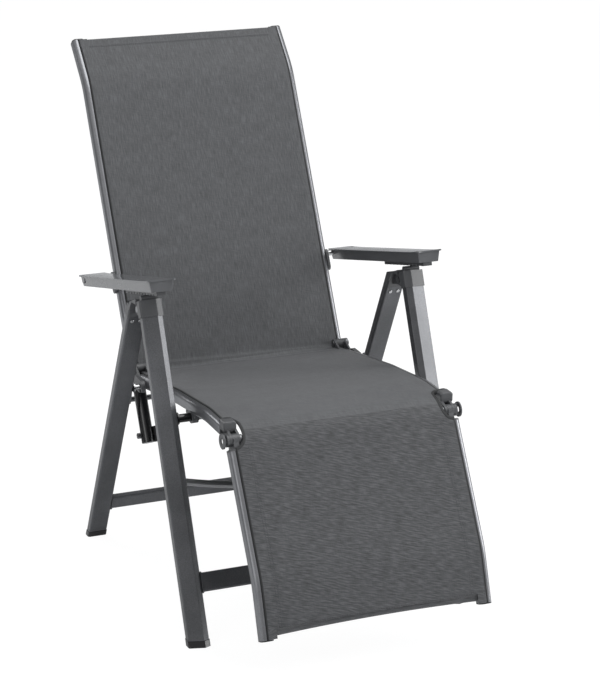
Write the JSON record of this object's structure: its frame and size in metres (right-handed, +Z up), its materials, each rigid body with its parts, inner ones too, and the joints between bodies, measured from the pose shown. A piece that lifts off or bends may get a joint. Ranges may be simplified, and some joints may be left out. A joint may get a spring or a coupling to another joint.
{
  "type": "reclining garden armchair",
  "caption": "High-backed folding garden armchair with a sling seat, reclining back, hinged leg rest and armrests on a folding A-frame.",
  "frame": {"origin": "on the floor, under the middle of the overall width and depth", "axes": "+X across the chair, -Y the way it faces, +Z up"},
  "size_m": [0.662, 1.1484, 1.11],
  "materials": {
    "frame_tube": "anthracite metallic powder coat, satin",
    "rail_tube": "anthracite metallic powder coat, satin",
    "plastic": "dark grey moulded plastic",
    "arm_plastic": "dark grey moulded plastic, slight sheen",
    "black_plastic": "black glossy plastic",
    "rubber": "black rubber",
    "sling": "anthracite woven polyester mesh",
    "steel": "bright zinc-plated steel",
    "bow_metal": "plain silver aluminium"
  },
  "bodies": {
    "front_frame": {"front_leg_left": "frame_tube", "front_leg_right": "frame_tube", "front_foot_caps": "black_plastic", "head_cap_left": "plastic", "head_cap_right": "plastic", "front_crossbar": "frame_tube", "front_bow": "bow_metal", "frame_pivot_pins": "steel", "seat_pivot_tubes": "black_plastic"},
    "rear_frame": {"rear_leg_left": "frame_tube", "rear_leg_right": "frame_tube", "rear_foot_caps": "black_plastic", "rear_head_left": "plastic", "rear_head_right": "plastic", "head_rivets": "steel", "rear_crossbar": "frame_tube", "hook_pins": "steel"},
    "seat": {"seat_rail_left": "rail_tube", "seat_rail_right": "rail_tube", "seat_sling": "sling", "seat_cords": "plastic", "seat_cross_tube": "rail_tube", "seat_pivot_brackets": "plastic", "seat_hooks": "plastic", "back_bracket_left": "plastic", "back_bracket_right": "plastic", "knee_upper_left": "plastic", "knee_upper_right": "plastic"},
    "recline_ratchet": {"recline_bail": "steel", "recline_discs": "plastic", "back_pins": "steel"},
    "back": {"back_rail_left": "rail_tube", "back_rail_right": "rail_tube", "back_top_bar": "rail_tube", "back_sling": "sling", "back_cords": "plastic", "back_end_plugs": "black_plastic", "back_lugs": "plastic", "back_sleeve_left": "black_plastic", "back_sleeve_right": "black_plastic", "bumpers": "rubber", "end_bolts": "steel", "arm_pins": "steel"},
    "knee_ratchet": {"knee_bail": "steel", "knee_covers": "plastic", "knee_pins": "steel"},
    "leg_rest": {"rest_rail_left": "rail_tube", "rest_rail_right": "rail_tube", "rest_sling": "sling", "rest_cords": "plastic", "rest_bar": "rail_tube", "rest_end_plugs": "black_plastic", "knee_lower_left": "plastic", "knee_lower_right": "plastic"},
    "arm_link_left": {"arm_link_left": "plastic"},
    "arm_link_right": {"arm_link_right": "plastic"},
    "armrest_left": {"armrest_left": "arm_plastic", "arm_rack_left": "plastic"},
    "armrest_right": {"armrest_right": "arm_plastic", "arm_rack_right": "plastic"}
  },
  "joints": [
    {"name": "fold", "type": "hinge", "parent": "front_frame", "child": "rear_frame", "pos_m": [0, -0.0408, 0.64], "axis": [-1, 0, 0], "range_deg": [0, 44]},
    {"name": "seat_swing", "type": "hinge", "parent": "front_frame", "child": "seat", "pos_m": [0, -0.1658, 0.434], "axis": [1, 0, 0], "range_deg": [0, 58]},
    {"name": "back_fold", "type": "hinge", "parent": "seat", "child": "recline_ratchet", "pos_m": [0, 0.1752, 0.441], "axis": [1, 0, 0], "range_deg": [0, 102]},
    {"name": "recline", "type": "hinge", "parent": "recline_ratchet", "child": "back", "pos_m": [0, 0.1752, 0.441], "axis": [-1, 0, 0], "range_deg": [0, 30]},
    {"name": "knee_fold", "type": "hinge", "parent": "seat", "child": "knee_ratchet", "pos_m": [0, -0.3858, 0.453], "axis": [-1, 0, 0], "range_deg": [0, 52]},
    {"name": "leg_rest_tilt", "type": "hinge", "parent": "knee_ratchet", "child": "leg_rest", "pos_m": [0, -0.3858, 0.453], "axis": [-1, 0, 0], "range_deg": [0, 39]},
    {"name": "arm_fold_left", "type": "hinge", "parent": "back", "child": "arm_link_left", "pos_m": [0, 0.29252, 0.622], "axis": [-1, 0, 0], "range_deg": [0, 92]},
    {"name": "arm_tilt_left", "type": "hinge", "parent": "arm_link_left", "child": "armrest_left", "pos_m": [0, 0.29252, 0.622], "axis": [1, 0, 0], "range_deg": [0, 21.9]},
    {"name": "arm_fold_right", "type": "hinge", "parent": "back", "child": "arm_link_right", "pos_m": [0, 0.29252, 0.622], "axis": [-1, 0, 0], "range_deg": [0, 92]},
    {"name": "arm_tilt_right", "type": "hinge", "parent": "arm_link_right", "child": "armrest_right", "pos_m": [0, 0.29252, 0.622], "axis": [1, 0, 0], "range_deg": [0, 21.9]}
  ],
  "couplings": [
    {"joint": "seat_swing", "follows": "fold", "ratio": 1.3182},
    {"joint": "back_fold", "follows": "fold", "ratio": 2.3182},
    {"joint": "knee_fold", "follows": "fold", "ratio": 1.1818},
    {"joint": "leg_rest_tilt", "follows": "recline", "ratio": 1.3},
    {"joint": "arm_fold_left", "follows": "fold", "ratio": 2.0909},
    {"joint": "arm_tilt_left", "follows": "recline", "ratio": 0.73},
    {"joint": "arm_fold_right", "follows": "fold", "ratio": 2.0909},
    {"joint": "arm_tilt_right", "follows": "recline", "ratio": 0.73}
  ]
}
